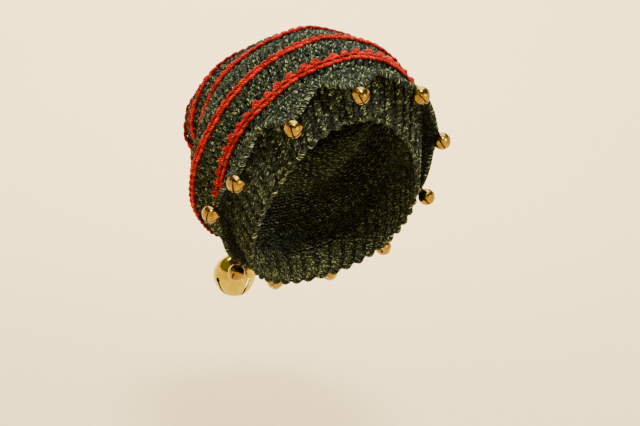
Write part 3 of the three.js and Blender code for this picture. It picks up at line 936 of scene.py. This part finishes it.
# The two loops of a picot: radius, rise and thickness
PICOT_LOOPS = [(2.9, 2.0, 1.1), (1.3, 2.8, 1.0)]
PICOT_SPACING = 11.6
PICOT_SHIFT = 0.7
PICOT_MESSY = 0.16
PICOT_FOOT = 2.1
PICOT_HEIGHT = 1.2


def path_round(place_at):
    """The angles of a path round the hat and the distance travelled at each."""
    angle = even_turns(PATH_STEPS)
    point, _, _ = uneven_surface(place_at(angle), angle)
    spans = np.linalg.norm(np.roll(point, -1, axis=0) - point, axis=-1)
    return np.append(angle, FULL_TURN), np.concatenate([[0.0], np.cumsum(spans)])


def stripe_chain(number, place_at):
    angle, travelled = path_round(place_at)
    total = travelled[-1]
    links = int(round(total / LINK_LENGTH))
    pitch = total / links

    def at_distance(distance):
        turn = np.interp(np.mod(distance, total), travelled, angle)
        wander = sum(high * np.sin(waves * turn + shift * number) for high, waves, shift in WANDER)
        return uneven_surface(place_at(turn) + wander, turn)

    parts = MeshParts()
    start = np.arange(links)[:, None] * pitch
    # Painted shade at the tucked ends of the links.
    depth_shade = LINK_END_SHADE * (1 - LINK_HEIGHT / LINK_HEIGHT.max())
    for side in (-1, 1):
        wobble = rng.normal(0, LINK_MESSY, (2, links, 1))
        point, outward, along = at_distance(start + pitch * (LINK_START + LINK_REACH * LINK_STEPS))
        sideways = side * LINK_WIDTH * (1 + wobble[0]) + 0.3 * wobble[1]
        height = STRIPE_SINK + LINK_HEIGHT * (1 + wobble[1])
        centres = point + along * sideways[..., None] + outward * height[..., None]
        # The links get strong painted shade on their undersides.
        add_strands(parts, centres, LINK_YARN * LINK_THICKNESS, outward, sides=8, underside_shade=2.0, depth_shade=depth_shade)
    end_share = FIRST_STRIPE_ENDS if number == 1 else 1.0
    add_short_ends(parts, at_distance, start[::2] + 0.5 * pitch, end_share)
    if number == 1:
        add_picots(parts, at_distance, total)
    parts.build(f"stripe_{number}_chain", RED_YARN, "hat", [f"stripe_{number}"])


def add_short_ends(parts, at_distance, anchors, share):
    """Short ends of yarn that go down into the cloth on the side of the cuff."""
    point, outward, along = at_distance(anchors + END_STEPS)
    sideways = (END_REACH * share)[:, None]
    height = (STRIPE_SINK + END_HEIGHT)[:, None]
    add_strands(parts, point + along * sideways + outward * height, END_THICKNESS, outward)


def add_picots(parts, at_distance, total):
    """Round loops of yarn that stand on the tail's side of the first stripe."""
    count = int(round(total / PICOT_SPACING))
    centre = np.arange(count)[:, None] * total / count
    turns = np.linspace(0.0, math.pi, 9)
    shift = rng.normal(0, PICOT_SHIFT, (count, 1))
    for radius, rise, thickness in PICOT_LOOPS:
        jitter = rng.normal(0, PICOT_MESSY, (count, 1))
        distance = centre + shift + radius * (1 + jitter) * (np.cos(turns) + 0.35 * np.sin(turns))
        sideways = PICOT_FOOT + radius * (1.20 + 1.5 * jitter) * np.sin(turns)
        point, outward, along = at_distance(distance)
        height = STRIPE_SINK + PICOT_HEIGHT + rise * np.sin(turns) ** 0.7
        centres = point + along * sideways[..., None] + outward * height[..., None]
        profile = np.concatenate([[0.0], np.full(len(turns) - 2, thickness), [0.0]])
        # Painted shade on the loops' undersides.
        add_strands(parts, centres, profile, outward, sides=7, underside_shade=1.6)


stripe_chain(1, first_stripe_place)
for stripe_number in range(2, 8):
    stripe_place = float(SECTION_NAMES.index(f"stripe {stripe_number}"))
    stripe_chain(stripe_number, lambda angle, place=stripe_place: np.full(np.shape(angle), place))


# Bells. Heights and pinches are shares of the radius, and CROSSING_GIRTH is one of the slot.

SLOT_HOLE_HEIGHT = -0.06
CROSSING_GIRTH = 0.72
BELLY_PINCH = 0.05
SLOT_PINCH = 0.045
LOWER_SQUASH = 0.97
CURVE_ROWS = 12
HOLE_ROWS = 9
FOOT_HEIGHTS = np.array([0.84, 0.88, 0.95])
SHARP_BEND = math.radians(38)
QUARTER_EDGE = math.pi / 4


def bell_grid(form):
    """A quarter of a bell's skin between two slots: radius round the axis, height and turn."""
    hole_height = SLOT_HOLE_HEIGHT * form.radius
    top_angle = math.acos((hole_height + form.slot_hole) / form.radius)
    upper = form.radius * np.cos(np.linspace(0.0, top_angle, CURVE_ROWS))
    open_turn = math.pi - math.asin(form.slot / 2 / form.slot_hole)
    hole_turns = np.linspace(0.0, open_turn, HOLE_ROWS)[1:]
    round_hole = hole_height + form.slot_hole * np.cos(hole_turns)
    half_hole = form.slot_hole * np.sin(hole_turns)
    start_angle = math.acos(round_hole[-1] / form.radius)
    bottom_angle = math.pi - math.asin(CROSSING_GIRTH * form.slot / form.radius)
    lower = form.radius * np.cos(np.linspace(start_angle, bottom_angle, CURVE_ROWS))[1:]
    heights = np.concatenate([upper, round_hole, lower])
    halves = np.concatenate([np.zeros(CURVE_ROWS), half_hole, np.full(len(lower), form.slot / 2)])
    girth = np.sqrt(np.maximum(form.radius ** 2 - heights ** 2, 1e-9))
    edge = np.arcsin(np.minimum(halves / np.maximum(girth, 1e-6), math.sin(QUARTER_EDGE - 0.01)))
    across = np.linspace(-1.0, 1.0, form.columns + 1)
    turn = across * (QUARTER_EDGE - edge)[:, None]
    return np.broadcast_arrays(girth[:, None], heights[:, None], turn)


def bell_points(form, quarter):
    girth, height, turn = bell_grid(form)
    below = np.clip(-height / form.radius, 0.0, 1.0)
    near_slot = np.abs(turn) / QUARTER_EDGE
    pinch = 1 - BELLY_PINCH * np.sin(math.pi * below) - SLOT_PINCH * below ** 0.5 * near_slot ** 4
    around = turn + form.slot_turn + (quarter - 0.5) * math.pi / 2
    return np.stack([
        girth * pinch * np.cos(around),
        girth * pinch * np.sin(around),
        np.where(height < 0, LOWER_SQUASH, 1.0) * height,
    ], axis=-1)


def bell_skin(form):
    """The outer skin of a bell, in four quarters with the crossed slots between them."""
    vertices = []
    faces = []
    for quarter in range(4):
        grid = bell_points(form, quarter)
        rows, wide = grid.shape[:2]
        first = len(vertices)
        vertices.extend(grid.reshape(-1, 3).tolist())
        for row in range(rows - 1):
            for column in range(wide - 1):
                corner = first + row * wide + column
                faces.append((corner, corner + wide, corner + wide + 1, corner + 1))
    return vertices, faces


def bell_shell(form):
    """The points, quads and triangles of the skin, joined at the top and given its wall."""
    vertices, faces = bell_skin(form)
    mesh = bpy.data.meshes.new("bell_skin")
    mesh.from_pydata(vertices, [], faces)
    skin = bpy.data.objects.new("bell_skin", mesh)
    bpy.context.scene.collection.objects.link(skin)
    weld = skin.modifiers.new("Weld", "WELD")
    weld.merge_threshold = 1e-4 * form.radius
    solid = skin.modifiers.new("Solid", "SOLIDIFY")
    solid.thickness = form.wall
    solid.offset = -1.0
    graph = bpy.context.evaluated_depsgraph_get()
    thick = bpy.data.meshes.new_from_object(skin.evaluated_get(graph))
    points = np.array([vertex.co[:] for vertex in thick.vertices])
    polygons = [list(polygon.vertices) for polygon in thick.polygons]
    bpy.data.objects.remove(skin)
    bpy.data.meshes.remove(mesh)
    bpy.data.meshes.remove(thick)
    quads = [polygon for polygon in polygons if len(polygon) == 4]
    triangles = [polygon for polygon in polygons if len(polygon) == 3]
    return points, quads, triangles


def add_eye(parts, form, centre, turned):
    """The eye, half a turn of wire whose feet go into the shell."""
    turns = np.linspace(0.0, math.pi, 13)
    middle = form.eye_hole + form.eye_wire / 2
    arch = np.stack([middle * np.cos(turns), 0 * turns, form.eye_centre + middle * np.sin(turns)], -1)
    left_foot = np.stack([np.full(3, middle), np.zeros(3), FOOT_HEIGHTS * form.radius], -1)
    right_foot = left_foot[::-1] * np.array([-1.0, 1.0, 1.0])
    path = np.concatenate([left_foot, arch, right_foot]) @ turned.T + centre
    ups = np.broadcast_to(turned @ np.array([0.0, 1.0, 0.0]), path.shape)
    add_strands(parts, path[None], form.eye_wire / 2, ups[None], sides=8)


def bell(name, brass, form, centre, turned, body):
    parts = MeshParts()
    points, quads, triangles = bell_shell(form)
    parts.add(points @ turned.T + centre, quads, triangles)
    add_eye(parts, form, centre, turned)
    piece = parts.build(f"{name}_shell", brass, body, [name])
    piece.data.set_sharp_from_angle(angle=SHARP_BEND)


for index, cuff_angle in enumerate(np.radians(CUFF_POINTS[:, 0])):
    bell_centre, _, bell_turn = small_bell_seat(cuff_angle)
    bell(f"small_bell_{index + 1:02d}", SMALL_BRASS, SMALL_BELL, bell_centre, bell_turn, "hat")


# The tail's loop, the large bell and its pellet

def tail_end():
    ring = outer_point(float(LAST_SECTION), even_turns(36))
    return np.array([ring[:, 0].mean(), ring[:, 1].mean(), ring[:, 2].min() - CROWN_WALL / 2])


LOOP_CENTRE = tail_end() - UP * (TOUCH_GAP + LOOP_YARN + LOOP_RADIUS)
SWING_AXIS = LOOP_CENTRE - UP * LOOP_RADIUS
LARGE_CENTRE = SWING_AXIS - UP * (LARGE_BELL.eye_centre + LARGE_BELL.eye_hole - LOOP_YARN - TOUCH_GAP)
PEA_FLOOR = 1.0  # the bell's floor above its sphere's lowest point


def tail_loop():
    parts = MeshParts()
    turns = even_turns(40)
    ring = np.stack([0 * turns, np.cos(turns), np.sin(turns)], -1)
    ups = np.broadcast_to(np.array([1.0, 0.0, 0.0]), ring.shape)
    add_strands(parts, (LOOP_CENTRE + LOOP_RADIUS * ring)[None], LOOP_YARN, ups[None], sides=8, closed=True)
    parts.build("tail_loop_yarn", GREEN_YARN, "hat", ["tail_loop"])


def pea():
    form = bmesh.new()
    bmesh.ops.create_icosphere(form, subdivisions=4, radius=PEA_RADIUS * METRES)
    mesh = bpy.data.meshes.new("pea_ball")
    form.to_mesh(mesh)
    form.free()
    centre = LARGE_CENTRE - UP * (LARGE_BELL.radius - PEA_FLOOR - PEA_RADIUS - TOUCH_GAP)
    mesh.transform(Matrix.Translation(Vector((centre - SEAT) * METRES)))
    mesh.shade_smooth()
    mesh.materials.append(SMALL_BRASS)
    ball = bpy.data.objects.new("pea_ball", mesh)
    bpy.context.scene.collection.objects.link(ball)
    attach(ball, "bell")
    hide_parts("bell_pea")


tail_loop()
bell("large_bell", LARGE_BRASS, LARGE_BELL, LARGE_CENTRE, np.eye(3), "bell")
pea()


# Stage, lights and camera

PAPER = (0.90, 0.73, 0.42)
FLOOR_DROP = 0.16
FLOOR_SIDES = 96

# The floor's section from its flat part up its low wall
FLOOR_REACH = [1.0, 1.3, 1.55, 1.75, 1.88, 1.95, 1.97, 1.97]
FLOOR_RISE = [0.0, 0.03, 0.10, 0.24, 0.42, 0.64, 0.9, 1.1]

# The lamps: name, place, target, size, power and colour
HAT_MIDDLE = (0.0, 0.03, -0.09)
LAMPS = [
    ("key_light", (-0.30, -1.05, 1.50), HAT_MIDDLE, 0.42, 52, (1.0, 0.98, 0.95)),
    ("fill_light", (0.5, -1.2, 0.28), HAT_MIDDLE, 0.5, 6, (0.84, 0.93, 1.0)),
    ("paper_light", (0.45, 1.0, 1.25), (0.85, 1.85, 0.1), 1.2, 68, (1.0, 0.95, 0.86)),
    ("floor_light", (0.4, 0.3, 1.9), (0.2, 0.3, -0.4), 1.6, 50, (1.0, 0.97, 0.92)),
]

# The room's glow from below to above
WORLD_STRENGTH = 0.45
WORLD_SHADES = [
    (0.40, (0.34, 0.30, 0.24)),
    (0.56, (0.20, 0.17, 0.14)),
    (0.68, (0.26, 0.23, 0.19)),
    (0.88, (0.75, 0.71, 0.65)),
]

# The camera, fitted to the photo. It looks at PHOTO_CENTRE, which is in the hat's millimetres.
CAMERA_TURN = math.radians(-28.87)
CAMERA_RISE = math.radians(11.75)
CAMERA_ROLL = math.radians(0.93)
CAMERA_DISTANCE = 1.2
SENSOR_WIDTH = 36.0
PHOTO_CENTRE = np.array([0.0, 0.0, 68.0])

# The photo's own measures, in pixels
PHOTO_WIDTH = 640
FOCAL_LENGTH = 1416
CENTRE_SHIFT = (-0.82, 0.61)


def paper_material():
    material, _, shader = new_material("Pale studio paper")
    shader.inputs["Base Color"].default_value = (*PAPER, 1.0)
    shader.inputs["Roughness"].default_value = 0.9
    shader.inputs["Specular IOR Level"].default_value = 0.2
    return material


def stage():
    """A round floor of paper that curves up into a low wall on all sides."""
    low = cad_box[0][2] - FLOOR_DROP
    turns = even_turns(FLOOR_SIDES)
    vertices = [(0.0, 0.0, low)]
    for reach, rise in zip(FLOOR_REACH, FLOOR_RISE):
        vertices.extend((reach * math.cos(turn), reach * math.sin(turn), low + rise) for turn in turns)
    corners = [(side, (side + 1) % FLOOR_SIDES) for side in range(FLOOR_SIDES)]
    faces = [(0, 1 + here, 1 + there) for here, there in corners]
    for ring in range(1, len(FLOOR_REACH)):
        inner = 1 + (ring - 1) * FLOOR_SIDES
        outer = inner + FLOOR_SIDES
        faces.extend((inner + here, outer + here, outer + there, inner + there) for here, there in corners)
    mesh = bpy.data.meshes.new("studio_floor")
    mesh.from_pydata(vertices, [], faces)
    mesh.shade_smooth()
    mesh.materials.append(paper_material())
    floor = bpy.data.objects.new("studio_floor", mesh)
    bpy.context.scene.collection.objects.link(floor)


def area_light(name, place, target, size, power, colour):
    light = bpy.data.lights.new(name, "AREA")
    light.shape = "SQUARE"
    light.size = size
    light.energy = power
    light.color = colour
    lamp = bpy.data.objects.new(name, light)
    lamp.location = place
    lamp.rotation_euler = (Vector(target) - Vector(place)).to_track_quat("-Z", "Y").to_euler()
    lamp.visible_camera = False
    bpy.context.scene.collection.objects.link(lamp)


def lights():
    for lamp in LAMPS:
        area_light(*lamp)
    world = bpy.data.worlds.new("Studio")
    world.use_nodes = True
    tree = world.node_tree
    direction = node(tree, "ShaderNodeTexCoord").outputs["Generated"]
    height = node(tree, "ShaderNodeSeparateXYZ", i0=direction).outputs[2]
    share = plus(tree, times(tree, height, 0.5), 0.5)
    background = tree.nodes["Background"]
    tree.links.new(ramp(tree, share, WORLD_SHADES), background.inputs["Color"])
    background.inputs["Strength"].default_value = WORLD_STRENGTH
    bpy.context.scene.world = world


def camera():
    data = bpy.data.cameras.new("camera")
    data.sensor_width = SENSOR_WIDTH
    data.lens = SENSOR_WIDTH * FOCAL_LENGTH / PHOTO_WIDTH
    data.shift_x = CENTRE_SHIFT[0] / PHOTO_WIDTH
    data.shift_y = CENTRE_SHIFT[1] / PHOTO_WIDTH
    lens = bpy.data.objects.new("camera", data)
    rise, turn = CAMERA_RISE, CAMERA_TURN
    away = Vector((math.sin(turn) * math.cos(rise), -math.cos(turn) * math.cos(rise), math.sin(rise)))
    target = Vector((PHOTO_CENTRE - SEAT) * METRES)
    lens.location = target + CAMERA_DISTANCE * away
    looking = (-away).to_track_quat("-Z", "Y").to_matrix()
    lens.rotation_euler = (looking @ Matrix.Rotation(CAMERA_ROLL, 3, "Z")).to_euler()
    bpy.context.scene.collection.objects.link(lens)
    bpy.context.scene.camera = lens


stage()
lights()
camera()
